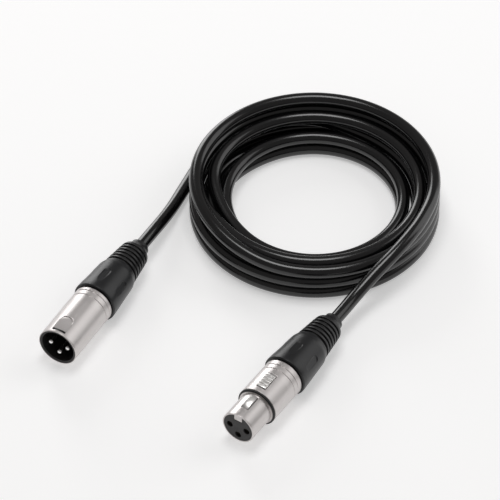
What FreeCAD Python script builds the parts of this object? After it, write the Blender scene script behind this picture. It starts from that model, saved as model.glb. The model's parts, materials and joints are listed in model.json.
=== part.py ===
"""Balanced microphone cable, coiled, with a male and a female XLR connector.

Millimetres, +Z up. The origin is on the floor, at the middle of the two connectors' plan.
Both connectors lie with their mating faces towards -Y and their cables leaving towards +Y.
Each connector is drawn along its own +Y, with its mating face at y = 0, and then laid in place.
"""

import FreeCAD, Part
import math
import os

V = FreeCAD.Vector

# ---- cable -------------------------------------------------------------------------------------
CABLE_D = 6.0
CABLE_R = CABLE_D / 2
JACKET_BORE_R = 2.35
BRAID_R = 2.30
BRAID_BORE_R = 2.05
WIRE_R = 0.8
WIRE_OFFSET = 0.95
SCREEN_R = 0.5

# ---- where things lie --------------------------------------------------------------------------
COIL_CENTRE = (0.8, 103.86)
AXIS_Z = 10.45
MALE_FACE = (-46.57, -38.8)
MALE_YAW = 2.3
FEMALE_FACE = (47.1, -38.9)
FEMALE_YAW = -1.7

# ---- coil --------------------------------------------------------------------------------------
INNER_R = 37.2
COLUMN_EDGES = (37.2, 44.4, 51.5, 57.5)
COLUMN_TOPS = (12.0, 18.0, 18.0)
TOP_TURN_TOP = 24.0
TOP_TURN_ARC = (-5.0, 235.0)
BASE_R = 60.4
BASE_SHIFT = 2.4
BASE_SHIFT_ANGLE = 120.0
BASE_H = 6.0

# the two free stretches, measured from the coil's centre: a short lead straight out of the boot,
# and then these points
TAIL_LEAD = 8.0
MALE_TAIL = [(-51.6, -52.0, 8.9), (-53.4, -41.5, 6.4), (-55.2, -32.5, 4.6), (-57.2, -23.0, 3.5),
             (-58.8, -13.6, 3.05)]
FEMALE_TAIL = [(49.3, -47.0, 11.4), (50.8, -37.5, 14.0), (52.6, -29.5, 16.6), (54.6, -20.0, 19.0),
               (55.6, -9.0, 20.6), (55.3, 2.0, 21.0)]

# ---- shells ------------------------------------------------------------------------------------
SHELL_R = 9.5
MALE_SHELL_L = 31.5
MALE_BORE_R = 8.15
FEMALE_SHELL_L = 36.7
NOSE_R = 7.93
NOSE_L = 14.4
NOSE_BORE_R = 7.3
SEAT_R = 8.6
SLEEVE_START = 15.6
THREAD_R = 8.2
THREAD_L = 4.4
THREAD_GAP = 0.05
MALE_GROOVES = (26.6, 29.4)
FEMALE_GROOVES = (31.1, 33.8)
GROOVE_W = 0.4
GROOVE_DEPTH = 0.2

# ---- contacts ----------------------------------------------------------------------------------
CONTACT_CIRCLE_R = 4.3
CONTACTS = [(-CONTACT_CIRCLE_R, 0.0), (CONTACT_CIRCLE_R, 0.0), (0.0, -CONTACT_CIRCLE_R)]
PIN_R = 1.2
PIN_TIP = 1.1
PIN_SHANK_R = 1.65
PIN_TIP_ROUND = 0.7
SOCKET_BORE_R = 1.22
SOCKET_R = 1.75
SOCKET_START = 1.6
SOCKET_DEPTH = 12.0
SOCKET_MOUTH_R = 1.45
CUP_R = 1.5
CUP_BORE_R = 1.0
CUP_DEPTH = 3.2

# ---- inserts -----------------------------------------------------------------------------------
FIT = 0.03
MALE_INSERT = (14.0, 21.0)
MALE_CUP_END = 25.0
FEMALE_INSERT = (0.1, 18.3)
FEMALE_CUP_END = 22.8
KEYWAY_W = 4.3
KEY_TAB = (0.15, 0.75)
KEYWAY_FLOOR = 3.4

# ---- latch -------------------------------------------------------------------------------------
LEVER_W = 3.2
LEVER_Z = (5.6, 6.4)
LEVER_FRONT = 1.3
TONGUE_T = 0.4
TONGUE_Z = (5.5, 7.0)
HOOK = (5.6, 13.2)
HOOK_TOP = 8.7
HOOK_RAMP = 2.4
HOOK_SLOT = (5.3, 13.5)
HOOK_SLOT_W = 3.8
BUTTON = (18.4, 27.6)
BUTTON_W = 4.4
BUTTON_TOP = 9.85
BUTTON_RIBS = 5
BUTTON_SLOT = (18.1, 27.9)
BUTTON_SLOT_W = 4.8
PIVOT = (30.3, 6.6)
PIVOT_PIN_R = 0.6
PIVOT_CLEARANCE = 0.05
PIVOT_EYE_R = 1.25
LUG_T = 1.0
SPRING_FEET = (11.0, 17.6)
SPRING_T = 0.25
SPRING_W = 2.6

# ---- latch catch in the male shell -------------------------------------------------------------
CATCH_W = 6.5
CATCH_SLOT = (1.25, 2.5)
CATCH_PANEL_END = 10.8
CATCH_PANEL_DEPTH = 0.35
CATCH_GROOVE_DEPTH = 0.55

# ---- rear of both connectors, measured from the end of the shell --------------------------------
BOOT_GAP = 0.5
BOOT_R = 10.45
BOOT_END = 22.8
BOOT_PROFILE = [(0.9, BOOT_R), (2.5, BOOT_R), (19.3, 9.22), (20.3, 8.95), (21.3, 8.55), (22.4, 8.33),
                (BOOT_END, 8.28)]
SCOOPS = 6
SCOOP_W = 3.8
SCOOP_L = 9.7
SCOOP_REAR = 14.4
SCOOP_SLOPE = 6.2
SCOOP_DEPTH = 0.5
CHUCK_FLANGE_R = 6.9
CHUCK_BODY_R = 6.0
CHUCK_TIP_R = 4.7
CHUCK_TIP = 12.0
CHUCK_SLIT = 0.9
RELIEF_SPIGOT_R = 5.3
RELIEF_SPIGOT_L = 7.0
RIBS = 5
RIB_PITCH = 2.26
RIB_GROOVE = 0.9
RIB_DEPTH = 0.8
RELIEF_R = (8.2, 7.0)
RELIEF_END = 41.4
RELIEF_LIP_R = 4.2
JACKET_FRONT = -2.0
BRAID_FRONT = -1.0


def ring(outer, inner, start, end):
    """A tube along +Y."""
    shape = Part.makeCylinder(outer, end - start, V(0, start, 0), V(0, 1, 0))
    if inner > 0:
        shape = shape.cut(Part.makeCylinder(inner, end - start, V(0, start, 0), V(0, 1, 0)))
    return shape


def rod(radius, start, end, x=0.0, z=0.0):
    """A round bar along +Y, away from the axis."""
    return Part.makeCylinder(radius, end - start, V(x, start, z), V(0, 1, 0))


def block(x0, x1, y0, y1, z0, z1):
    return Part.makeBox(x1 - x0, y1 - y0, z1 - z0, V(x0, y0, z0))


def turned(points):
    """A solid turned about the Y axis from an outline of (radius, y) points."""
    wire = Part.makePolygon([V(r, y, 0) for r, y in points] + [V(points[0][0], points[0][1], 0)])
    return Part.Face(wire).revolve(V(0, 0, 0), V(0, 1, 0), 360)


def bar(radius, a, b):
    """A round bar between two points, with a ball at its far end so that runs join."""
    return Part.makeCylinder(radius, (b - a).Length, a, b - a).fuse(Part.makeSphere(radius, b))


def write(shape, node):
    solids = shape.Solids
    assert len(solids) == 1 and shape.isValid(), (node, len(solids), shape.isValid())
    solids[0].exportStep("parts/%s.step" % node)
    print("%-22s %9.2f mm3" % (node, shape.Volume))


def laid(shape, face, yaw):
    """Lay a connector's piece on the floor with its mating face at the given place."""
    out = shape.copy()
    out.rotate(V(0, 0, 0), V(0, 0, 1), yaw)
    out.translate(V(face[0], face[1], AXIS_Z))
    return out


# ---- shells ------------------------------------------------------------------------------------
def outside_grooves(places):
    cut = []
    for y in places:
        cut.append(ring(SHELL_R + 1, SHELL_R - GROOVE_DEPTH, y - GROOVE_W / 2, y + GROOVE_W / 2))
    return cut


def catch_cuts():
    """The window that the other connector's hook snaps into, and the flat panel behind it."""
    half = CATCH_W / 2
    deep = SHELL_R - CATCH_PANEL_DEPTH
    panel = block(-half, half, CATCH_SLOT[0], CATCH_PANEL_END - half, deep, SHELL_R + 1)
    nose = Part.makeCylinder(half, 2, V(0, CATCH_PANEL_END - half, deep), V(0, 0, 1))
    slot = block(-half + 0.2, half - 0.2, CATCH_SLOT[0], CATCH_SLOT[1], 5, SHELL_R + 1)
    groove_r = MALE_BORE_R + CATCH_GROOVE_DEPTH
    groove = block(-half, half, CATCH_SLOT[0], CATCH_PANEL_END - 0.5, 5, groove_r)
    keep = ring(groove_r, 0, CATCH_SLOT[0], CATCH_PANEL_END)
    return [panel.fuse(nose), slot, groove.common(keep)]


def male_shell():
    bore_end = MALE_INSERT[1]
    shape = turned([
        (MALE_BORE_R + 0.6, 0), (SHELL_R - 0.35, 0), (SHELL_R, 0.5), (SHELL_R, MALE_SHELL_L - 0.5),
        (SHELL_R - 0.4, MALE_SHELL_L), (THREAD_R + THREAD_GAP, MALE_SHELL_L),
        (THREAD_R + THREAD_GAP, MALE_SHELL_L - THREAD_L - 0.3), (7.2, MALE_SHELL_L - THREAD_L - 0.3),
        (7.2, bore_end), (MALE_BORE_R, bore_end), (MALE_BORE_R, 0.8)])
    for cut in catch_cuts() + outside_grooves(MALE_GROOVES):
        shape = shape.cut(cut)
    return shape


def female_shell():
    top = FEMALE_SHELL_L
    shape = turned([
        (NOSE_BORE_R, 0), (NOSE_R - 0.25, 0), (NOSE_R, 0.35), (NOSE_R, NOSE_L), (SEAT_R, NOSE_L),
        (SEAT_R, SLEEVE_START), (SHELL_R - 0.3, SLEEVE_START), (SHELL_R, SLEEVE_START + 0.4),
        (SHELL_R, top - 0.5), (SHELL_R - 0.4, top), (THREAD_R + THREAD_GAP, top),
        (THREAD_R + THREAD_GAP, FEMALE_INSERT[1]), (NOSE_BORE_R, FEMALE_INSERT[1])])
    reach = LEVER_W / 2 + 0.15
    for side in (-1, 1):
        x0, x1 = sorted((side * reach, side * (reach + LUG_T)))
        lug = block(x0, x1, PIVOT[0] - 1.2, PIVOT[0] + 1.2, PIVOT[1] - 1.3, 8.6)
        shape = shape.fuse(lug)
    for width, span in ((HOOK_SLOT_W, HOOK_SLOT), (BUTTON_SLOT_W, BUTTON_SLOT)):
        shape = shape.cut(block(-width / 2, width / 2, span[0], span[1], 5, 12))
    shape = shape.cut(Part.makeCylinder(PIVOT_PIN_R + 0.02, 20, V(-10, PIVOT[0], PIVOT[1]), V(1, 0, 0))
                      .common(block(-reach - LUG_T, reach + LUG_T, 25, 35, 0, 12)))
    for cut in outside_grooves(FEMALE_GROOVES):
        shape = shape.cut(cut)
    return shape


def female_ring():
    return ring(SHELL_R - 0.05, SEAT_R + FIT, NOSE_L + 0.25, SLEEVE_START - FIT)


# ---- inserts and contacts ----------------------------------------------------------------------
def male_insert():
    shape = ring(MALE_BORE_R - FIT, 0, MALE_INSERT[0], MALE_INSERT[1] - FIT)
    for x, z in CONTACTS:
        shape = shape.cut(rod(PIN_SHANK_R + FIT, MALE_INSERT[0] - 1, MALE_INSERT[1] + 1, x, z))
    return shape


def female_insert():
    shape = ring(NOSE_BORE_R - FIT, 0, FEMALE_INSERT[0], FEMALE_INSERT[1])
    shape = shape.cut(block(-KEYWAY_W / 2, KEYWAY_W / 2, -1, FEMALE_INSERT[1] + 1, KEYWAY_FLOOR, 9))
    for x, z in CONTACTS:
        shape = shape.cut(rod(SOCKET_MOUTH_R, -1, SOCKET_START, x, z))
        shape = shape.cut(rod(SOCKET_R + FIT, SOCKET_START, FEMALE_INSERT[1] + 1, x, z))
    return shape


def female_key_tab():
    """Metal tab across the mouth of the keyway, in front of the lever."""
    half = KEYWAY_W / 2 - FIT
    tab = block(-half, half, KEY_TAB[0], KEY_TAB[1], KEYWAY_FLOOR + FIT, 9)
    return tab.common(rod(NOSE_BORE_R - FIT, KEY_TAB[0], KEY_TAB[1]))


def solder_cup(shape, end, x, z):
    """Fit a solder cup to a contact's tail: an end socket, open along its top."""
    shape = shape.cut(rod(CUP_BORE_R, end - CUP_DEPTH, end + 1, x, z))
    half = CUP_BORE_R * 0.8
    return shape.cut(block(x - half, x + half, end - CUP_DEPTH + 0.8, end + 1, z, z + 3))


def male_pin(index):
    x, z = CONTACTS[index]
    blade = rod(PIN_R, PIN_TIP + PIN_TIP_ROUND, MALE_INSERT[0], x, z)
    tip = Part.makeCone(PIN_R - PIN_TIP_ROUND * 0.8, PIN_R, PIN_TIP_ROUND, V(x, PIN_TIP, z), V(0, 1, 0))
    shank = rod(PIN_SHANK_R, MALE_INSERT[0], MALE_INSERT[1], x, z)
    cup = rod(CUP_R, MALE_INSERT[1], MALE_CUP_END, x, z)
    return solder_cup(blade.fuse([tip, shank, cup]), MALE_CUP_END, x, z)


def female_socket(index):
    x, z = CONTACTS[index]
    body = rod(SOCKET_R, SOCKET_START + FIT, FEMALE_INSERT[1], x, z)
    body = body.cut(rod(SOCKET_BORE_R, SOCKET_START - 1, SOCKET_START + SOCKET_DEPTH, x, z))
    cup = rod(CUP_R, FEMALE_INSERT[1], FEMALE_CUP_END, x, z)
    return solder_cup(body.fuse(cup), FEMALE_CUP_END, x, z)


def ground_spring(start, outer):
    """Sprung earth ring behind the insert, open at the top, from the shell to contact 1."""
    shape = ring(outer, outer - 0.9, start, start + 0.5)
    shape = shape.cut(block(-3.2, 3.2, start - 1, start + 2, 2, outer + 1))
    tab = block(-outer + 0.4, -CONTACT_CIRCLE_R - CUP_R - FIT, start, start + 0.5, -0.6, 0.6)
    return shape.fuse(tab)


# ---- latch -------------------------------------------------------------------------------------
def female_latch():
    half = LEVER_W / 2
    plate = block(-half, half, LEVER_FRONT, PIVOT[0] - 0.8, LEVER_Z[0], LEVER_Z[1])
    wide = half + 0.3
    tongue = block(-wide, wide, LEVER_FRONT - TONGUE_T, LEVER_FRONT, TONGUE_Z[0], TONGUE_Z[1])
    hook_side = Part.makePolygon([
        V(-half, HOOK[0], LEVER_Z[0]), V(-half, HOOK[1], LEVER_Z[0]), V(-half, HOOK[1], HOOK_TOP),
        V(-half, HOOK[0] + HOOK_RAMP, HOOK_TOP), V(-half, HOOK[0], NOSE_R - 0.4),
        V(-half, HOOK[0], LEVER_Z[0])])
    hook = Part.Face(hook_side).extrude(V(LEVER_W, 0, 0))
    half_b = BUTTON_W / 2
    button = block(-half_b, half_b, BUTTON[0], BUTTON[1], LEVER_Z[0], BUTTON_TOP)
    eye = Part.makeCylinder(PIVOT_EYE_R, LEVER_W, V(-half, PIVOT[0], PIVOT[1]), V(1, 0, 0))
    shape = plate.fuse([tongue, hook, button, eye])
    pitch = (BUTTON[1] - BUTTON[0]) / BUTTON_RIBS
    for i in range(BUTTON_RIBS - 1):
        y = BUTTON[0] + (i + 1) * pitch
        shape = shape.cut(block(-half_b - 1, half_b + 1, y - 0.25, y + 0.25, BUTTON_TOP - 0.45, 12))
    bore = Part.makeCylinder(PIVOT_PIN_R + PIVOT_CLEARANCE, 10, V(-5, PIVOT[0], PIVOT[1]), V(1, 0, 0))
    return shape.cut(bore)


def female_latch_pin():
    length = LEVER_W + 0.3 + 2 * LUG_T
    return Part.makeCylinder(PIVOT_PIN_R, length, V(-length / 2, PIVOT[0], PIVOT[1]), V(1, 0, 0))


def female_latch_spring():
    """A bowed leaf on the keyway's floor that bears on the lever from below."""
    y0, y1 = SPRING_FEET
    mid = (y0 + y1) / 2
    low = KEYWAY_FLOOR + 0.03
    high = LEVER_Z[0] - 0.03
    x = -SPRING_W / 2
    upper = Part.Arc(V(x, y0, low + SPRING_T), V(x, mid, high), V(x, y1, low + SPRING_T)).toShape()
    lower = Part.Arc(V(x, y1, low), V(x, mid, high - SPRING_T), V(x, y0, low)).toShape()
    ends = [Part.makeLine(V(x, y1, low + SPRING_T), V(x, y1, low)),
            Part.makeLine(V(x, y0, low), V(x, y0, low + SPRING_T))]
    wire = Part.Wire([upper, ends[0], lower, ends[1]])
    return Part.Face(wire).extrude(V(SPRING_W, 0, 0))


# ---- rear of both connectors -------------------------------------------------------------------
def boot_radius(y):
    """Outer radius of the bushing at a distance behind the shell."""
    for (y0, r0), (y1, r1) in zip(BOOT_PROFILE, BOOT_PROFILE[1:]):
        if y0 <= y <= y1:
            return r0 + (r1 - r0) * (y - y0) / (y1 - y0)
    return BOOT_R


def bushing(end):
    """Back nut: a threaded plug inside the shell and a tapered grip behind it."""
    outline = [(THREAD_R, end - THREAD_L), (THREAD_R, end + BOOT_GAP), (BOOT_R - 0.4, end + BOOT_GAP)]
    outline += [(radius, end + y) for y, radius in BOOT_PROFILE]
    spigot = end + BOOT_END - RELIEF_SPIGOT_L
    throat = CHUCK_TIP_R - 0.6
    outline += [(RELIEF_SPIGOT_R, end + BOOT_END), (RELIEF_SPIGOT_R, spigot), (throat, spigot),
                (throat, end + CHUCK_TIP + 2), (CHUCK_BODY_R + 0.15, end + 2),
                (CHUCK_FLANGE_R + 0.05, end - 0.8), (CHUCK_FLANGE_R + 0.05, end - THREAD_L)]
    shape = turned(outline)
    for i in range(SCOOPS):
        shape = shape.cut(scoop(end).rotated(V(0, 0, 0), V(0, 1, 0), 360.0 * i / SCOOPS))
    return shape


def scoop(end):
    """Cutter for one finger scoop: flush at the front, deepest at its rounded rear."""
    half = SCOOP_W / 2
    pad = block(-half, half, 0, SCOOP_L - half, 0, 4)
    pad = pad.fuse(Part.makeCylinder(half, 4, V(0, SCOOP_L - half, 0), V(0, 0, 1)))
    rise = SCOOP_L * math.tan(math.radians(SCOOP_SLOPE))
    pad.rotate(V(0, 0, 0), V(1, 0, 0), -SCOOP_SLOPE)
    pad.translate(V(0, end + SCOOP_REAR - SCOOP_L, boot_radius(SCOOP_REAR) - SCOOP_DEPTH + rise))
    return pad


def chuck(end):
    """Split collet that the bushing closes on the cable's jacket."""
    start = end - THREAD_L + 1.2
    shape = turned([
        (CABLE_R + 0.05, start), (CHUCK_FLANGE_R, start), (CHUCK_FLANGE_R, end - 1.2),
        (CHUCK_BODY_R, end - 1.2), (CHUCK_BODY_R, end + 1.0), (CHUCK_TIP_R - 0.75, end + CHUCK_TIP),
        (CABLE_R + 0.05, end + CHUCK_TIP)])
    for angle in (0, 90):
        slit = block(-CHUCK_SLIT / 2, CHUCK_SLIT / 2, end + 0.4, end + CHUCK_TIP + 1, -9, 9)
        shape = shape.cut(slit.rotated(V(0, 0, 0), V(0, 1, 0), angle))
    return shape


def strain_relief(end):
    """Soft ribbed end piece with a rounded lip, held by its spigot in the bushing."""
    bore = CABLE_R + 0.05
    front = end + BOOT_END - RELIEF_SPIGOT_L + FIT
    face = end + BOOT_END + FIT
    spigot_r = RELIEF_SPIGOT_R - FIT
    outline = [(bore, front), (spigot_r, front), (spigot_r, face)]
    fall = (RELIEF_R[0] - RELIEF_R[1]) / (RIBS * RIB_PITCH)
    for i in range(RIBS):
        y = face + i * RIB_PITCH
        r0 = RELIEF_R[0] - fall * i * RIB_PITCH
        outline += [(r0 - RIB_DEPTH, y), (r0 - RIB_DEPTH, y + RIB_GROOVE),
                    (r0 - 0.05, y + RIB_GROOVE), (r0 - fall * RIB_PITCH, y + RIB_PITCH)]
    y = face + RIBS * RIB_PITCH
    last_r = RELIEF_R[1]
    outline += [(last_r - RIB_DEPTH, y), (last_r - RIB_DEPTH, y + RIB_GROOVE),
                (last_r - 0.1, y + RIB_GROOVE), (last_r - 0.4, y + 2.7), (last_r - 1.6, y + 4.0),
                (RELIEF_LIP_R + 0.2, y + 5.5), (RELIEF_LIP_R, end + RELIEF_END),
                (bore, end + RELIEF_END)]
    return turned(outline)


def jacket_end(end):
    return ring(CABLE_R, JACKET_BORE_R, end + JACKET_FRONT, end + RELIEF_END)


def braid_end(end):
    return ring(BRAID_R, BRAID_BORE_R, end + BRAID_FRONT, end + RELIEF_END)


def conductor(index, side, cup_end, end):
    """One insulated conductor, from its solder cup into the jacket."""
    x, z = CONTACTS[index]
    a = V(x, cup_end - CUP_DEPTH + 0.5, z)
    b = V(x, cup_end + 0.4, z)
    c = V(side * WIRE_OFFSET, end + JACKET_FRONT - 0.2, 0)
    core = Part.makeCylinder(WIRE_R, (b - a).Length, a, b - a)
    lead = bar(WIRE_R, b, c).fuse(Part.makeSphere(WIRE_R, b))
    tail = rod(WIRE_R, c.y, end + RELIEF_END, c.x, c.z)
    return core.fuse([lead, tail])


def screen_lead(cup_end, end):
    """The screen, twisted into one lead from contact 1 to the front of the braid."""
    x, z = CONTACTS[0]
    a = V(x, cup_end - CUP_DEPTH + 0.5, z)
    b = V(x, cup_end + 0.4, z + 1.3)
    c = V(-0.6, end + JACKET_FRONT - 0.4, 1.75)
    d = V(0, end + BRAID_FRONT - 0.05, 1.4)
    return Part.makeCylinder(SCREEN_R, (b - a).Length, a, b - a).fuse([
        bar(SCREEN_R, b, c), Part.makeSphere(SCREEN_R, b), bar(SCREEN_R, c, d)])


# ---- cable -------------------------------------------------------------------------------------
def tube(points, node):
    """A round tube on straight runs joined by the largest tangent arcs that the runs allow."""
    edges = []
    radii = []
    here = points[0]
    for before, corner, after in zip(points, points[1:], points[2:]):
        u = (corner - before).normalize()
        w = (after - corner).normalize()
        run = min((corner - before).Length, (after - corner).Length)
        half = u.getAngle(w) / 2
        back = 0.45 * run
        radii.append(back / math.tan(half))
        first = corner - u * back
        last = corner + w * back
        middle = arc_middle(corner, u, w, back, half)
        edges.append(Part.makeLine(here, first))
        edges.append(Part.Arc(first, middle, last).toShape())
        here = last
    edges.append(Part.makeLine(here, points[-1]))
    path = Part.Wire(edges)
    section = Part.Wire(Part.makeCircle(CABLE_R, points[0], points[1] - points[0]))
    solid = path.makePipeShell([section], True, False, 2)
    print("%s: length %.1f, radii %s, volume / (section x length) %.4f" % (
        node, path.Length, [round(r, 1) for r in radii],
        solid.Volume / (math.pi * CABLE_R ** 2 * path.Length)))
    return solid


def arc_middle(corner, u, w, back, half):
    """The middle point of the arc that rounds a corner between two run directions."""
    radius = back / math.tan(half)
    inward = (w - u).normalize()
    return corner + inward * (radius / math.cos(half) - radius)


def tail(face, yaw, end, route, node):
    """The cable from the end of a boot to where it joins the coil."""
    away = V(-math.sin(math.radians(yaw)), math.cos(math.radians(yaw)), 0)
    leaves = V(face[0], face[1], AXIS_Z) + away * (end + RELIEF_END)
    points = [leaves, leaves + away * TAIL_LEAD]
    points += [V(COIL_CENTRE[0] + x, COIL_CENTRE[1] + y, z) for x, y, z in route]
    return tube(points, node)


def coil():
    """Outer shape of the wound turns: stepped columns, the last turn on top and a wider first layer."""
    shape = None
    for i, top in enumerate(COLUMN_TOPS):
        column = Part.makeCylinder(COLUMN_EDGES[i + 1], top)
        column = column.cut(Part.makeCylinder(INNER_R, top))
        shape = column if shape is None else shape.fuse(column)
    sweep = TOP_TURN_ARC[1] - TOP_TURN_ARC[0]
    step = Part.makeCylinder(COLUMN_EDGES[3], TOP_TURN_TOP, V(0, 0, 0), V(0, 0, 1), sweep)
    step.rotate(V(0, 0, 0), V(0, 0, 1), TOP_TURN_ARC[0])
    shape = shape.fuse(step)
    for edge, top in zip(COLUMN_EDGES[1:3], COLUMN_TOPS):
        shape = shape.cut(Part.makeCylinder(edge, 30, V(0, 0, top)))
    shape = shape.cut(Part.makeCylinder(INNER_R, 40, V(0, 0, -5)))
    angle = math.radians(BASE_SHIFT_ANGLE)
    shift = V(math.cos(angle), math.sin(angle), 0) * BASE_SHIFT
    base = Part.makeCylinder(BASE_R, BASE_H, shift)
    shape = shape.fuse(base.cut(Part.makeCylinder(INNER_R, 40, V(0, 0, -5)))).removeSplitter()
    shape.translate(V(COIL_CENTRE[0], COIL_CENTRE[1], 0))
    return shape


# ---- assembly ----------------------------------------------------------------------------------
def rear_set(side, end, cup_end, face, yaw):
    pieces = {
        "chuck": chuck(end), "bushing": bushing(end), "strain_relief": strain_relief(end),
        "jacket_end": jacket_end(end), "braid_end": braid_end(end),
        "wire_hot": conductor(1, 1, cup_end, end), "wire_cold": conductor(2, -1, cup_end, end),
        "wire_screen": screen_lead(cup_end, end)}
    for name, shape in pieces.items():
        write(laid(shape, face, yaw), "%s_%s" % (side, name))


def male_connector():
    pieces = {"shell": male_shell(), "insert": male_insert(),
              "ground_spring": ground_spring(MALE_INSERT[1] + FIT, 7.1)}
    for i in range(3):
        pieces["pin_%d" % (i + 1)] = male_pin(i)
    for name, shape in pieces.items():
        write(laid(shape, MALE_FACE, MALE_YAW), "male_" + name)
    rear_set("male", MALE_SHELL_L, MALE_CUP_END, MALE_FACE, MALE_YAW)


def female_connector():
    pieces = {"shell": female_shell(), "ring": female_ring(), "insert": female_insert(),
              "key_tab": female_key_tab(),
              "latch": female_latch(), "latch_pin": female_latch_pin(),
              "latch_spring": female_latch_spring(),
              "ground_spring": ground_spring(FEMALE_INSERT[1] + FIT, 8.1)}
    for i in range(3):
        pieces["socket_%d" % (i + 1)] = female_socket(i)
    for name, shape in pieces.items():
        write(laid(shape, FEMALE_FACE, FEMALE_YAW), "female_" + name)
    rear_set("female", FEMALE_SHELL_L, FEMALE_CUP_END, FEMALE_FACE, FEMALE_YAW)


os.makedirs("parts", exist_ok=True)
male_connector()
female_connector()
write(coil(), "cable_coil")
for node, face, yaw, end, route in (
        ("cable_tail_male", MALE_FACE, MALE_YAW, MALE_SHELL_L, MALE_TAIL),
        ("cable_tail_female", FEMALE_FACE, FEMALE_YAW, FEMALE_SHELL_L, FEMALE_TAIL)):
    write(tail(face, yaw, end, route, node), node)
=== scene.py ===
"""Looks for a coiled microphone cable with a male and a female XLR connector.

Metres, in the CAD model's frame. A connector's own frame has +Y from its mating face to its cable
and +Z up, and sizes written in millimetres are multiplied by MM.
"""

import json
import math

import bmesh
import bpy
from mathutils import Matrix, Vector


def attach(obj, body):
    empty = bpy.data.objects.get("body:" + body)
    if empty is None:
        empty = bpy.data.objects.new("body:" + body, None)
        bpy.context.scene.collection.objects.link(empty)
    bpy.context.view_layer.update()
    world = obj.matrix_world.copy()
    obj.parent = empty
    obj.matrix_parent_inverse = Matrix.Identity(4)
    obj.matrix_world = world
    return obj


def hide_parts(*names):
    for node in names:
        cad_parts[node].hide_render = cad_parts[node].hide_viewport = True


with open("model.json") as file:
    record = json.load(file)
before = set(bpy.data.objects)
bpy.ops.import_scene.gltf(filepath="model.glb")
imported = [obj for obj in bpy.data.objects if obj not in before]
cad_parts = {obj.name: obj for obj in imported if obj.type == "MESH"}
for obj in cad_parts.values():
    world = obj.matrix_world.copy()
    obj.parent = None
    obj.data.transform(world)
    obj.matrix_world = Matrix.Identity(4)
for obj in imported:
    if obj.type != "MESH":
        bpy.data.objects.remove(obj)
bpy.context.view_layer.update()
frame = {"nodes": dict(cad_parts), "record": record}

MM = 0.001

# ---- cable, in metres --------------------------------------------------------------------------
CABLE_D = 0.006
COIL_CENTRE = Vector((0.0008, 0.10386, 0.0))
TAIL_LEAD = 0.008
MALE_TAIL = [(-0.0516, -0.0520, 0.0089), (-0.0534, -0.0415, 0.0064), (-0.0552, -0.0325, 0.0046),
             (-0.0572, -0.0230, 0.0035), (-0.0588, -0.0136, 0.00305)]
FEMALE_TAIL = [(0.0493, -0.0470, 0.0114), (0.0508, -0.0375, 0.0140), (0.0526, -0.0295, 0.0166),
               (0.0546, -0.0200, 0.0190), (0.0556, -0.0090, 0.0206), (0.0553, 0.0020, 0.0210)]

# the coil's turns, by radius and height of a lay in millimetres: each move starts at one angle and
# ends at another, in degrees clockwise from the left as seen from above, at the lay that follows
FIRST_LAY = (59.9, 3.0)
MOVES = [
    (95, 140, 54.5, 3.0), (435, 475, 54.5, 9.0), (770, 810, 47.8, 9.0), (1060, 1100, 47.5, 3.0),
    (1385, 1475, 40.2, 3.0), (1700, 1760, 40.8, 9.0), (2100, 2150, 48.3, 15.0),
    (2450, 2500, 54.5, 15.0), (2770, 2830, 54.5, 21.0)]
LAST_ANGLE = 3040
STEP = 20

# ---- shells, in millimetres; places are measured from a connector's mating face -----------------
SHELL_R = 9.5
THREAD_BORE_R = 8.25
BAND_L = 2.5
BAND_STEP = 0.04
GROOVE_DEPTH = 0.24
MALE_SHELL_L = 31.5
MALE_BORE_R = 8.15
MALE_STOP = 21.0
MALE_STOP_R = 7.2
LIP_BORE_R = 9.1
LIP_L = 2.62
MALE_GROOVES = (26.6, 29.4)
PANEL_HALF = 3.25
PANEL = (2.0, 10.8)
PANEL_Z = 8.93
CATCH_SLOT = (1.2, 2.55)
FEMALE_SHELL_L = 36.7
NOSE_R = 7.93
NOSE_BORE_R = 7.3
NOSE_L = 14.4
SEAT_R = 8.6
SLEEVE_START = 15.6
FEMALE_GROOVES = (31.1, 33.8)
KEY_TAB = (0.15, 0.75)

# ---- contacts and inserts ----------------------------------------------------------------------
CONTACTS = [(-4.3, 0.0), (4.3, 0.0), (0.0, -4.3)]
PIN_R = 1.2
PIN_TIP = 1.1
SHANK_R = 1.35
CUP_R = 1.5
CUP_BORE_R = 1.0
SOCKET_MOUTH_R = 1.45
SOCKET_WELL_R = 1.78
MALE_INSERT = (14.0, 20.97)
FEMALE_INSERT = (0.1, 18.3)
KEYWAY_HALF = 2.15
KEYWAY_Z = 3.4
KEYWAY_MOUTH_Z = 4.0

# ---- latch -------------------------------------------------------------------------------------
LEVER_W = 3.2
HOOK_SLOT = (5.3, 13.5)
HOOK_SLOT_HALF = 1.9
BUTTON = (18.4, 27.6)
BUTTON_W = 4.4
BUTTON_TOP = 9.85
BUTTON_RIBS = 5
BUTTON_SLOT = (18.1, 27.9)
BUTTON_SLOT_HALF = 2.4

# ---- boots and strain reliefs; places are measured from the end of the shell ---------------------
BOOT_PROFILE = [(0.9, 10.45), (2.5, 10.45), (19.3, 9.22), (20.3, 8.95), (21.3, 8.55), (22.4, 8.33),
                (22.8, 8.28)]
BOOT_END = 22.8
BOOT_BORE_R = 5.3
SCOOP_HALF = 1.9
SCOOP_FRONT = 4.7
SCOOP_REAR = 14.4
SCOOP_DEPTH = 0.4
SCOOP_RISE = 0.1086
RELIEF_BORE_R = 3.05
RELIEF_START = 15.83
RELIEF_BODY_R = 5.27
RIBS_START = 22.83
RIBS = 5
RIB_PITCH = 2.26
RIB_GROOVE = 0.9
RIB_DEPTH = 0.85
RIB_R = 8.2
RIB_TAPER = 1.2
RELIEF_END = 41.4

# ---- camera, in degrees, metres and millimetres of lens ------------------------------------------
VIEW_AZIMUTH = 31.4
VIEW_ELEVATION = 44.34
VIEW_DISTANCE = 1.9
VIEW_TARGET = Vector((-0.00604, 0.05826, 0.01024))
LENS = 302.2
SENSOR_WIDTH = 36

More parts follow.
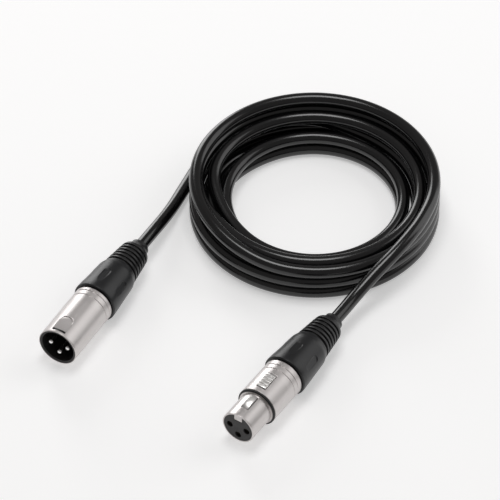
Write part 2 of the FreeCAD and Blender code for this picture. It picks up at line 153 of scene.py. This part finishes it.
# ---- lights: name, azimuth and elevation in degrees, size in metres, radiance --------------------
LIGHTS = [
    ("key", -51, 16, (0.42, 0.90), 3.7),
    ("top", -40, 84, (0.60, 0.60), 5.0),
    ("side", 37, 27, (0.90, 1.30), 1.15)]
LIGHT_AIM = Vector((0.0, 0.05, 0.0))
LIGHT_DISTANCE = 1.4
WORLD_COLOUR = (1, 0.97, 0.955, 1)
WORLD_STRENGTH = 0.22
FLOOR_SIZE = 3.0
FLOOR_DROP = 0.0001
FLOOR_GLOW = 0.37


# ---- helpers -----------------------------------------------------------------------------------
def smooth(t):
    t = min(1.0, max(0.0, t))
    return t * t * (3 - 2 * t)


def mount(name):
    """Place and direction of one of the part's own interfaces."""
    found = [m for m in frame["record"]["mounts"] if m["name"] == name][0]
    return Vector(found["pos_m"]), Vector(found["axis"])


def connector_frame(mount_name):
    """Matrix from a connector's own frame, in metres, to the row frame."""
    place, out = mount(mount_name)
    back = -out
    up = Vector((0, 0, 1))
    turn = Matrix((back.cross(up), back, up)).transposed().to_4x4()
    return Matrix.Translation(place) @ turn


# ---- cable -------------------------------------------------------------------------------------
def lay_at(angle):
    """Radius and height of the cable's middle at an angle along the winding."""
    radius, height = FIRST_LAY
    for start, end, new_radius, new_height in MOVES:
        t = smooth((angle - start) / (end - start))
        radius += (new_radius - radius) * t
        height += (new_height - height) * t
    return radius * MM, height * MM


def coil_points():
    points = []
    stretch = 1 / math.cos(math.radians(STEP / 2))
    for angle in range(0, LAST_ANGLE + 1, STEP):
        radius, height = lay_at(angle)
        around = math.radians(180 - angle)
        points.append(COIL_CENTRE + Vector((math.cos(around), math.sin(around), 0)) * radius * stretch
                      + Vector((0, 0, height)))
    return points


def lead_points(place, leaves, route):
    """The free stretch from a boot's end to the coil."""
    points = [place, place + leaves * TAIL_LEAD]
    return points + [COIL_CENTRE + Vector(p) for p in route]


def cable(male, female, material):
    male_exit = male @ Vector((0, (MALE_SHELL_L + RELIEF_END) * MM, 0))
    female_exit = female @ Vector((0, (FEMALE_SHELL_L + RELIEF_END) * MM, 0))
    points = lead_points(male_exit, male.to_3x3() @ Vector((0, 1, 0)), MALE_TAIL)
    points += coil_points()
    points += reversed(lead_points(female_exit, female.to_3x3() @ Vector((0, 1, 0)), FEMALE_TAIL))
    curve = bpy.data.curves.new("cable", "CURVE")
    curve.dimensions = "3D"
    spline = curve.splines.new("NURBS")
    spline.points.add(len(points) - 1)
    for point, place in zip(spline.points, points):
        point.co = (*place, 1)
    spline.order_u = 3
    spline.use_endpoint_u = True
    spline.resolution_u = 12
    curve.bevel_depth = CABLE_D / 2
    curve.bevel_resolution = 6
    curve.materials.append(material)
    piece = bpy.data.objects.new("cable", curve)
    bpy.context.collection.objects.link(piece)
    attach(piece, "root")
    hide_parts("cable_coil", "cable_tail_male", "cable_tail_female")


# ---- mesh helpers ------------------------------------------------------------------------------
def add_piece(name, mesh, place, body, slot, material, *nodes):
    """Put a mesh into the scene, on its body, in place of the CAD nodes that it stands for."""
    piece = bpy.data.objects.new(name, mesh)
    bpy.context.collection.objects.link(piece)
    piece.matrix_world = place
    mesh.materials.clear()
    mesh.materials.append(material)
    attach(piece, body)
    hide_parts(*nodes)


def finished(bm, name, angle=32):
    """Mesh in metres from a bmesh in millimetres, smooth except at its sharp edges."""
    bmesh.ops.recalc_face_normals(bm, faces=bm.faces)
    bmesh.ops.scale(bm, vec=(MM, MM, MM), verts=bm.verts)
    mesh = bpy.data.meshes.new(name)
    bm.to_mesh(mesh)
    bm.free()
    for polygon in mesh.polygons:
        polygon.use_smooth = True
    mesh.set_sharp_from_angle(angle=math.radians(angle))
    return mesh


def rounded(outline, closed=True, steps=4):
    """Points along an outline of (across, along, fillet) corners, each corner rounded."""
    points = []
    last = len(outline)
    for i, (across, along, fillet) in enumerate(outline):
        here = Vector((across, along))
        if fillet <= 0 or (not closed and i in (0, last - 1)):
            points.append(here)
            continue
        before = Vector(outline[i - 1][:2])
        after = Vector(outline[(i + 1) % last][:2])
        a = here + (before - here).normalized() * fillet
        b = here + (after - here).normalized() * fillet
        for k in range(steps + 1):
            t = k / steps
            points.append(a * (1 - t) ** 2 + here * 2 * t * (1 - t) + b * t ** 2)
    return points


def lathe(points, closed=True, segments=128):
    """Turn an outline of (radius, along) points, in millimetres, about +Y.

    An open outline starts and ends on the axis, where flat ends close the shape."""
    bm = bmesh.new()
    rings = []
    for radius, along in points if closed else points[1:-1]:
        ring = []
        for i in range(segments):
            angle = 2 * math.pi * i / segments
            ring.append(bm.verts.new((radius * math.sin(angle), along, radius * math.cos(angle))))
        rings.append(ring)
    pairs = list(zip(rings, rings[1:]))
    if closed:
        pairs.append((rings[-1], rings[0]))
    else:
        bm.faces.new(list(reversed(rings[0])))
        bm.faces.new(rings[-1])
    for one, two in pairs:
        for i in range(segments):
            j = (i + 1) % segments
            bm.faces.new((one[i], one[j], two[j], two[i]))
    return bm


def prism(outline, width):
    """Extrude a side outline of (y, z) points by a width, centred on x = 0."""
    bm = bmesh.new()
    left = [bm.verts.new((-width / 2, y, z)) for y, z in outline]
    right = [bm.verts.new((width / 2, y, z)) for y, z in outline]
    bm.faces.new(left)
    bm.faces.new(list(reversed(right)))
    count = len(outline)
    for i in range(count):
        j = (i + 1) % count
        bm.faces.new((left[i], right[i], right[j], left[j]))
    return bm


def bar(radius, start, end, x, z, end_radius=None):
    """A round or tapered cutter along +Y."""
    bm = lathe([(0, start), (radius, start), (end_radius or radius, end), (0, end)], False, 48)
    bmesh.ops.translate(bm, vec=(x, 0, z), verts=bm.verts)
    return bm


def slab(x, y, z, corner=0.0, rear_corner=None):
    """A block between (low, high) pairs, with its four upright edges rounded."""
    (x0, x1), (y0, y1), (z0, z1) = x, y, z
    rear = corner if rear_corner is None else rear_corner
    outline = rounded([(x0, y0, corner), (x1, y0, corner), (x1, y1, rear), (x0, y1, rear)], steps=6)
    bm = bmesh.new()
    low = [bm.verts.new((px, py, z0)) for px, py in outline]
    high = [bm.verts.new((px, py, z1)) for px, py in outline]
    bm.faces.new(list(reversed(low)))
    bm.faces.new(high)
    count = len(outline)
    for i in range(count):
        j = (i + 1) % count
        bm.faces.new((low[i], low[j], high[j], high[i]))
    return bm


def combined(mesh, tools, operation="DIFFERENCE", bevel=0.0):
    """Cut or join a mesh with bmesh tools, then round the new edges a little."""
    body = bpy.data.objects.new("body", mesh)
    bpy.context.collection.objects.link(body)
    made = [body]
    for bm in tools:
        tool = bpy.data.objects.new("tool", finished(bm, "tool"))
        bpy.context.collection.objects.link(tool)
        made.append(tool)
        step = body.modifiers.new("step", "BOOLEAN")
        step.operation = operation
        step.solver = "EXACT"
        step.object = tool
    if bevel:
        step = body.modifiers.new("edges", "BEVEL")
        step.width = bevel * MM
        step.segments = 2
        step.limit_method = "ANGLE"
        step.angle_limit = math.radians(40)
    step = body.modifiers.new("shading", "WEIGHTED_NORMAL")
    step.keep_sharp = True
    result = bpy.data.meshes.new_from_object(body.evaluated_get(bpy.context.evaluated_depsgraph_get()))
    result.name = mesh.name
    for piece in made:
        bpy.data.objects.remove(piece)
    for polygon in result.polygons:
        polygon.use_smooth = True
    result.set_sharp_from_angle(angle=math.radians(32))
    return result


# ---- materials ---------------------------------------------------------------------------------
def surface(name, colour, roughness, metallic=0.0, grain=(900, 900, 900), detail=3.0, shade=0.05,
            rough_spread=0.05, bump=0.05, cloud=60, cloud_shade=0.08, specular=0.5):
    """A procedural surface: fine grain for texture, and a slow cloud for uneven colour and polish."""
    material = bpy.data.materials.new(name)
    material.use_nodes = True
    nodes = material.node_tree.nodes
    link = material.node_tree.links.new
    shader = nodes["Principled BSDF"]
    shader.inputs["Metallic"].default_value = metallic
    shader.inputs["Specular IOR Level"].default_value = specular
    where = nodes.new("ShaderNodeTexCoord")
    stretch = nodes.new("ShaderNodeMapping")
    stretch.inputs["Scale"].default_value = grain
    link(where.outputs["Object"], stretch.inputs["Vector"])
    fine = nodes.new("ShaderNodeTexNoise")
    fine.inputs["Scale"].default_value = 1.0
    fine.inputs["Detail"].default_value = detail
    link(stretch.outputs["Vector"], fine.inputs["Vector"])
    slow = nodes.new("ShaderNodeTexNoise")
    slow.inputs["Scale"].default_value = cloud
    slow.inputs["Detail"].default_value = 2.0
    link(where.outputs["Object"], slow.inputs["Vector"])

    dark = tuple(c * (1 - shade) for c in colour)
    light = tuple(min(1.0, c * (1 + shade)) for c in colour)
    tint = nodes.new("ShaderNodeMix")
    tint.data_type = "RGBA"
    tint.inputs["A"].default_value = (*dark, 1)
    tint.inputs["B"].default_value = (*light, 1)
    link(fine.outputs["Fac"], tint.inputs["Factor"])
    uneven = nodes.new("ShaderNodeMapRange")
    uneven.inputs["From Min"].default_value = 0.35
    uneven.inputs["From Max"].default_value = 0.65
    uneven.inputs["To Min"].default_value = 1 - cloud_shade
    uneven.inputs["To Max"].default_value = 1.0
    link(slow.outputs["Fac"], uneven.inputs["Value"])
    shaded = nodes.new("ShaderNodeVectorMath")
    shaded.operation = "SCALE"
    link(tint.outputs["Result"], shaded.inputs[0])
    link(uneven.outputs["Result"], shaded.inputs["Scale"])
    link(shaded.outputs["Vector"], shader.inputs["Base Color"])

    both = nodes.new("ShaderNodeMath")
    both.operation = "ADD"
    link(fine.outputs["Fac"], both.inputs[0])
    link(slow.outputs["Fac"], both.inputs[1])
    polish = nodes.new("ShaderNodeMapRange")
    polish.inputs["From Min"].default_value = 0.7
    polish.inputs["From Max"].default_value = 1.3
    polish.inputs["To Min"].default_value = roughness - rough_spread
    polish.inputs["To Max"].default_value = roughness + rough_spread
    link(both.outputs["Value"], polish.inputs["Value"])
    link(polish.outputs["Result"], shader.inputs["Roughness"])
    relief = nodes.new("ShaderNodeBump")
    relief.inputs["Strength"].default_value = bump
    relief.inputs["Distance"].default_value = 0.0002
    link(fine.outputs["Fac"], relief.inputs["Height"])
    link(relief.outputs["Normal"], shader.inputs["Normal"])
    return material


def make_materials():
    """One procedural surface for each of the record's material slots."""
    metal = {"metallic": 1.0}
    along = {"grain": (60, 3200, 60), "cloud": 120, "bump": 0.04, **metal}
    drawn = {"roughness": 0.38, "grain": (1500, 200, 1500), "bump": 0.04}
    looks = {
        "shell_nickel": {
            "colour": (0.63, 0.600, 0.590), "roughness": 0.36, "grain": (40, 5200, 40),
            "rough_spread": 0.03, "bump": 0.02, "cloud": 45, "cloud_shade": 0.04, **metal},
        "latch_metal": {
            "colour": (0.80, 0.785, 0.77), "roughness": 0.36, "grain": (900, 90, 90), "shade": 0.04,
            "rough_spread": 0.03, "bump": 0.02, "cloud": 45, "cloud_shade": 0.04, **metal},
        "pin_metal": {
            "colour": (0.88, 0.87, 0.86), "roughness": 0.16, "shade": 0.04, "rough_spread": 0.03,
            "cloud_shade": 0.05, **along},
        "socket_metal": {"colour": (0.30, 0.27, 0.21), "roughness": 0.35, "shade": 0.06, **along},
        "insert_black": {
            "colour": (0.014, 0.013, 0.013), "roughness": 0.50, "grain": (1800, 1800, 1800),
            "detail": 4.0, "shade": 0.12, "rough_spread": 0.06, "bump": 0.10, "cloud": 150,
            "cloud_shade": 0.10},
        "ring_black": {
            "colour": (0.010, 0.010, 0.011), "roughness": 0.55, "grain": (1500, 1500, 1500),
            "shade": 0.10, "rough_spread": 0.06, "bump": 0.06, "cloud": 90, "cloud_shade": 0.10},
        "boot_black": {
            "colour": (0.0045, 0.0050, 0.0062), "roughness": 0.36, "grain": (2400, 2400, 2400),
            "detail": 4.0, "shade": 0.10, "rough_spread": 0.04, "cloud": 70, "cloud_shade": 0.10},
        "relief_black": {
            "colour": (0.010, 0.010, 0.011), "roughness": 0.42, "grain": (1900, 1900, 1900),
            "detail": 4.0, "shade": 0.12, "rough_spread": 0.06, "bump": 0.10, "cloud": 80,
            "cloud_shade": 0.12},
        "jacket_black": {
            "colour": (0.0030, 0.0030, 0.0034), "roughness": 0.18, "grain": (1300, 1300, 1300),
            "shade": 0.10, "rough_spread": 0.02, "bump": 0.01, "cloud": 35, "cloud_shade": 0.12,
            "specular": 0.65},
        "chuck_white": {
            "colour": (0.62, 0.62, 0.60), "roughness": 0.45, "shade": 0.04, "cloud_shade": 0.05},
        "spring_steel": {
            "colour": (0.62, 0.62, 0.63), "roughness": 0.28, "grain": (900, 60, 900), "shade": 0.06,
            "cloud_shade": 0.06, **metal},
        "braid_copper": {
            "colour": (0.78, 0.42, 0.27), "roughness": 0.32, "grain": (3200, 500, 3200),
            "shade": 0.25, "rough_spread": 0.08, "bump": 0.30, "cloud_shade": 0.10, **metal},
        "wire_red": {"colour": (0.50, 0.03, 0.03), **drawn},
        "wire_blue": {"colour": (0.03, 0.08, 0.42), **drawn},
    }
    return {slot: surface(slot, **look) for slot, look in looks.items()}


def dress_cad_nodes(materials):
    """Give every CAD node the procedural material of its slot in the record."""
    for part in frame["record"]["subparts"]:
        mesh = frame["nodes"][part["node"]].data
        mesh.materials.clear()
        mesh.materials.append(materials[part["material_slot"]])


# ---- connector pieces, in millimetres ------------------------------------------------------------
def straight(radius, start, end):
    """Points a millimetre apart along a straight wall, which keep a cut's shading beside the cut."""
    return [(radius, y, 0) for y in range(math.ceil(start + 0.5), math.floor(end - 0.5))]


def grooved(radius, start, end, places):
    """The outer line of a shell between two places, with a fine edge and grooves near its end."""
    line = [(radius, start, 0.2)] + straight(radius, start, places[0] - BAND_L)
    radius -= BAND_STEP
    line += [(radius + BAND_STEP, places[0] - BAND_L, 0), (radius, places[0] - BAND_L + 0.1, 0)]
    for y in places:
        line += [(radius, y - 0.25, 0.06), (radius - GROOVE_DEPTH, y - 0.15, 0.04),
                 (radius - GROOVE_DEPTH, y + 0.15, 0.04), (radius, y + 0.25, 0.06)]
    return line + [(radius, end, 0.35)]


def male_shell():
    """Tube with a thin lip, the flat panel and slot that a latch catches in, and two grooves."""
    end = MALE_SHELL_L
    thread_start = end - 4.7
    outline = [(MALE_BORE_R, LIP_L, 0), (LIP_BORE_R, LIP_L, 0), (LIP_BORE_R, 0, 0.08)]
    outline += grooved(SHELL_R, 0, end, MALE_GROOVES)
    outline += [(THREAD_BORE_R, end, 0.1), (THREAD_BORE_R, thread_start, 0),
                (MALE_STOP_R, thread_start, 0), (MALE_STOP_R, MALE_STOP, 0),
                (MALE_BORE_R, MALE_STOP, 0)]
    half = PANEL_HALF
    panel = slab((-half, half), PANEL, (PANEL_Z, 11), 0.0, 3.2)
    slot = slab((-half, half), CATCH_SLOT, (5, 11), 0.2)
    mesh = finished(lathe(rounded(outline)), "male_shell_skin")
    return combined(mesh, [panel, slot], bevel=0.06)


def female_shell():
    """Nose and sleeve, with the seat of the ring between them and slots for the hook and button."""
    end = FEMALE_SHELL_L
    back = FEMALE_INSERT[1]
    outline = [(NOSE_BORE_R, 0, 0.1), (NOSE_R, 0, 0.2)] + straight(NOSE_R, 0, NOSE_L)
    outline += [(NOSE_R, NOSE_L, 0.1), (SEAT_R, NOSE_L, 0), (SEAT_R, SLEEVE_START, 0)]
    outline += grooved(SHELL_R, SLEEVE_START, end, FEMALE_GROOVES)
    outline += [(THREAD_BORE_R, end, 0.1), (THREAD_BORE_R, back, 0), (NOSE_BORE_R, back, 0)]
    hook_slot = slab((-HOOK_SLOT_HALF, HOOK_SLOT_HALF), HOOK_SLOT, (5, 12), 0.3)
    button_slot = slab((-BUTTON_SLOT_HALF, BUTTON_SLOT_HALF), BUTTON_SLOT, (5, 12), 0.5)
    key_tab = slab((-1.95, 1.95), KEY_TAB, (4.3, 7.6))
    mesh = finished(lathe(rounded(outline)), "female_shell_skin")
    mesh = combined(mesh, [key_tab], "UNION")
    return combined(mesh, [hook_slot, button_slot], bevel=0.07)


def latch():
    """Lever with its front tongue, the hook, the ribbed push button and the eye of its pivot."""
    lever = [(0.9, 5.5), (0.9, 7.0), (1.3, 7.0), (1.3, 6.4), (5.6, 6.4), (5.6, 7.6), (8.0, 8.7),
             (13.2, 8.7), (13.2, 6.4), (29.6, 6.4), (30.4, 7.8), (31.5, 7.4), (31.5, 5.9), (30.4, 5.4),
             (29.6, 5.6), (1.3, 5.6), (1.3, 5.5)]
    mesh = finished(prism(lever, LEVER_W), "latch_lever")
    front, rear = BUTTON
    pitch = (rear - front) / BUTTON_RIBS
    crest = BUTTON_TOP
    valley = BUTTON_TOP - 0.45
    top = [(front, 5.7, 0), (front, crest - 0.1, 0.25)]
    for i in range(1, BUTTON_RIBS):
        y = front + i * pitch
        top += [(y - 0.36, crest, 0.15), (y - 0.2, valley, 0.0), (y + 0.2, valley, 0.0),
                (y + 0.36, crest, 0.15)]
    top += [(rear, crest - 0.1, 0.25), (rear, 5.7, 0)]
    button = prism([tuple(p) for p in rounded(top, True, 3)], BUTTON_W)
    return combined(mesh, [button], "UNION", bevel=0.1)


def boot_radius(y):
    """Outer radius of a boot at a distance behind its shell."""
    for (y0, r0), (y1, r1) in zip(BOOT_PROFILE, BOOT_PROFILE[1:]):
        if y <= y1:
            return r0 + (r1 - r0) * max(0.0, y - y0) / (y1 - y0)
    return r1


def soft_boot_radius(y):
    """The boot's profile with its corners eased over about a millimetre."""
    reach = 0.7
    return sum(boot_radius(y + reach * k / 4) for k in range(-4, 5)) / 9


def boot():
    """Tapered grip of the back nut with six finger scoops."""
    outline = [(8.2, -4.4), (8.2, 0.5), (9.9, 0.5), (10.22, 0.58), (10.4, 0.8)]
    outline += [(soft_boot_radius(1.0 + 0.18 * i), 1.0 + 0.18 * i) for i in range(118)]
    outline += [(8.2, BOOT_END - 0.2), (8.05, BOOT_END - 0.05), (7.9, BOOT_END)]
    outline += [(BOOT_BORE_R, BOOT_END), (BOOT_BORE_R, 15.8), (4.1, 15.8), (4.1, 14.0), (6.15, 2.0),
                (6.95, -0.8), (6.95, -4.4)]
    bm = lathe([Vector(p) for p in outline], True, 400)
    for vert in bm.verts:
        x, y, z = vert.co
        radius = math.hypot(x, z)
        if radius < 7.4 or y < 2.5:
            continue
        angle = math.atan2(x, z)
        middle = round(angle / (math.pi / 3)) * math.pi / 3
        across = radius * math.sin(angle - middle)
        depth = scoop_depth(across, y, radius * math.cos(angle - middle))
        vert.co.x -= depth * math.sin(middle)
        vert.co.z -= depth * math.cos(middle)
    return finished(bm, "boot", 50)


def scoop_depth(across, y, height):
    """How far a point is pushed in: a flat floor, a round rear wall, soft sides and a faded front."""
    centre = SCOOP_REAR - SCOOP_HALF
    inside = SCOOP_HALF - (abs(across) if y < centre else math.hypot(across, y - centre))
    floor = boot_radius(SCOOP_REAR) - SCOOP_DEPTH + (SCOOP_REAR - y) * SCOOP_RISE
    return max(0.0, height - floor) * smooth(inside / 0.6) * smooth((y - SCOOP_FRONT) / 1.5)


def strain_relief():
    """Soft ribbed end piece with a rounded shoulder and a collar round the cable."""
    outline = [(RELIEF_BORE_R, RELIEF_START, 0), (RELIEF_BODY_R, RELIEF_START, 0),
               (RELIEF_BODY_R, RIBS_START, 0)]
    for i in range(RIBS):
        y = RIBS_START + RIB_PITCH * i
        radius = RIB_R - RIB_TAPER * i / RIBS
        outline += [(radius - RIB_DEPTH, y, 0.1), (radius - RIB_DEPTH, y + RIB_GROOVE, 0.1),
                    (radius, y + RIB_GROOVE + 0.05, 0.3), (radius - 0.2, y + RIB_PITCH, 0.3)]
    y = RIBS_START + RIB_PITCH * RIBS
    outline += [(6.15, y, 0.1), (6.15, y + RIB_GROOVE, 0.1), (6.95, y + RIB_GROOVE + 0.05, 0.3),
                (6.6, y + 2.7, 0.8), (5.4, y + 4.0, 0.6), (4.45, y + 5.5, 0.5),
                (4.35, RELIEF_END, 0.35), (RELIEF_BORE_R, RELIEF_END, 0.1)]
    return finished(lathe(rounded(outline)), "strain_relief", 50)


def pin(x, z):
    """Contact pin with a domed tip, its shank and the cup that a wire is soldered into."""
    cup_start = MALE_STOP
    outline = [(0, PIN_TIP, 0), (0.75, PIN_TIP, 0.35), (PIN_R, 1.85, 0.35), (PIN_R, MALE_INSERT[0], 0),
               (SHANK_R, MALE_INSERT[0], 0), (SHANK_R, cup_start, 0), (CUP_R, cup_start, 0.05),
               (CUP_R, 25.0, 0.08), (CUP_BORE_R, 25.0, 0), (CUP_BORE_R, 21.8, 0), (0, 21.8, 0)]
    bm = lathe(rounded(outline, False), False, 48)
    bmesh.ops.translate(bm, vec=(x, 0, z), verts=bm.verts)
    return finished(bm, "pin")


def male_insert():
    """Disc that holds the pins, with a thin black sleeve that lines the cup up to its lip as painted
    shade.
    """
    face, back = MALE_INSERT
    # the thin sleeve from the disc to the lip, 8.03 to 9.05 mm out, is a black sheet of painted shade
    # inside the cup
    outline = [(0, face, 0), (8.03, face, 0.1), (8.03, 0.3, 0.2), (9.05, 0.3, 0.1), (9.05, 2.58, 0),
               (8.13, 2.58, 0), (8.13, back, 0), (0, back, 0)]
    holes = [bar(1.38, face - 1, back + 1, x, z) for x, z in CONTACTS]
    mesh = finished(lathe(rounded(outline, False), False), "male_insert_face")
    return combined(mesh, holes, bevel=0.06)


def female_insert():
    """Carrier of the sockets, with flared socket mouths and the keyway that the lever lies in."""
    face, back = FEMALE_INSERT
    outline = [(0, face, 0), (7.27, face, 0.2), (7.27, back, 0), (0, back, 0)]
    across = (-KEYWAY_HALF, KEYWAY_HALF)
    cuts = [slab(across, (-1, 0.85), (KEYWAY_MOUTH_Z, 9)), slab(across, (0.8, 20), (KEYWAY_Z, 9))]
    for x, z in CONTACTS:
        cuts.append(bar(1.7, -0.1, 0.4, x, z, SOCKET_MOUTH_R))
        cuts.append(bar(SOCKET_MOUTH_R, 0.2, 1.7, x, z))
        cuts.append(bar(SOCKET_WELL_R, 1.6, 19, x, z))
    mesh = finished(lathe(rounded(outline, False), False), "female_insert_face")
    return combined(mesh, cuts, bevel=0.08)


def female_ring():
    """Black ring on the step between nose and sleeve."""
    outline = [(8.63, 14.65, 0.05), (9.45, 14.65, 0.2), (9.45, 15.57, 0.2), (8.63, 15.57, 0.05)]
    return finished(lathe(rounded(outline)), "cushion_ring")


def connector_pieces(male, female, materials):
    add_piece("male_shell_skin", male_shell(), male, "root", "shell_nickel", materials["shell_nickel"],
              "male_shell")
    add_piece("male_insert_face", male_insert(), male, "root", "insert_black",
              materials["insert_black"], "male_insert")
    for i, (x, z) in enumerate(CONTACTS):
        add_piece("male_contact_%d" % (i + 1), pin(x, z), male, "root", "pin_metal",
                  materials["pin_metal"], "male_pin_%d" % (i + 1))
    add_piece("female_shell_skin", female_shell(), female, "root", "shell_nickel",
              materials["shell_nickel"], "female_shell", "female_key_tab")
    add_piece("female_insert_face", female_insert(), female, "root", "insert_black",
              materials["insert_black"], "female_insert")
    add_piece("cushion_ring", female_ring(), female, "root", "ring_black", materials["ring_black"],
              "female_ring")
    add_piece("release_latch", latch(), female, "latch", "latch_metal", materials["latch_metal"],
              "female_latch")
    for side, place, length in (("male", male, MALE_SHELL_L), ("female", female, FEMALE_SHELL_L)):
        behind = place @ Matrix.Translation((0, length * MM, 0))
        add_piece(side + "_boot", boot(), behind, "root", "boot_black", materials["boot_black"],
                  side + "_bushing")
        add_piece(side + "_relief", strain_relief(), behind, "root", "relief_black",
                  materials["relief_black"], side + "_strain_relief")


# ---- scene -------------------------------------------------------------------------------------
def camera():
    a = math.radians(VIEW_AZIMUTH)
    e = math.radians(VIEW_ELEVATION)
    back = Vector((math.sin(a) * math.cos(e), -math.cos(a) * math.cos(e), math.sin(e)))
    data = bpy.data.cameras.new("camera")
    data.lens = LENS
    data.sensor_width = SENSOR_WIDTH
    data.clip_start = 0.05
    data.clip_end = 20
    piece = bpy.data.objects.new("camera", data)
    bpy.context.collection.objects.link(piece)
    piece.location = VIEW_TARGET + back * VIEW_DISTANCE
    piece.rotation_euler = (-back).to_track_quat("-Z", "Y").to_euler()
    bpy.context.scene.camera = piece


def area_light(name, azimuth, elevation, size, radiance):
    """A soft box facing the object, placed by the direction that it is seen in from the object."""
    a = math.radians(azimuth)
    e = math.radians(elevation)
    away = Vector((math.sin(a) * math.cos(e), math.cos(a) * math.cos(e), math.sin(e)))
    data = bpy.data.lights.new(name, "AREA")
    data.shape = "RECTANGLE"
    data.size, data.size_y = size
    data.energy = radiance * math.pi * size[0] * size[1]
    piece = bpy.data.objects.new(name, data)
    bpy.context.collection.objects.link(piece)
    piece.location = LIGHT_AIM + away * LIGHT_DISTANCE
    piece.rotation_euler = (-away).to_track_quat("-Z", "Y").to_euler()


def lights():
    world = bpy.data.worlds.new("studio")
    bpy.context.scene.world = world
    world.use_nodes = True
    world.node_tree.nodes["Background"].inputs["Color"].default_value = WORLD_COLOUR
    world.node_tree.nodes["Background"].inputs["Strength"].default_value = WORLD_STRENGTH
    for light in LIGHTS:
        area_light(*light)


def floor():
    bm = bmesh.new()
    bmesh.ops.create_grid(bm, x_segments=2, y_segments=2, size=FLOOR_SIZE)
    mesh = bpy.data.meshes.new("floor")
    bm.to_mesh(mesh)
    bm.free()
    piece = bpy.data.objects.new("floor", mesh)
    bpy.context.collection.objects.link(piece)
    piece.location.z = -FLOOR_DROP
    material = bpy.data.materials.new("floor")
    material.use_nodes = True
    shader = material.node_tree.nodes["Principled BSDF"]
    shader.inputs["Base Color"].default_value = (0.9, 0.9, 0.9, 1)
    shader.inputs["Roughness"].default_value = 0.6
    shader.inputs["Emission Color"].default_value = (1, 1, 1, 1)
    shader.inputs["Emission Strength"].default_value = FLOOR_GLOW
    mesh.materials.append(material)


male = connector_frame("male_cup")
female = connector_frame("female_nose")
materials = make_materials()
dress_cad_nodes(materials)
connector_pieces(male, female, materials)
cable(male, female, materials["jacket_black"])
camera()
lights()
floor()
bpy.context.scene.view_settings.view_transform = "Standard"
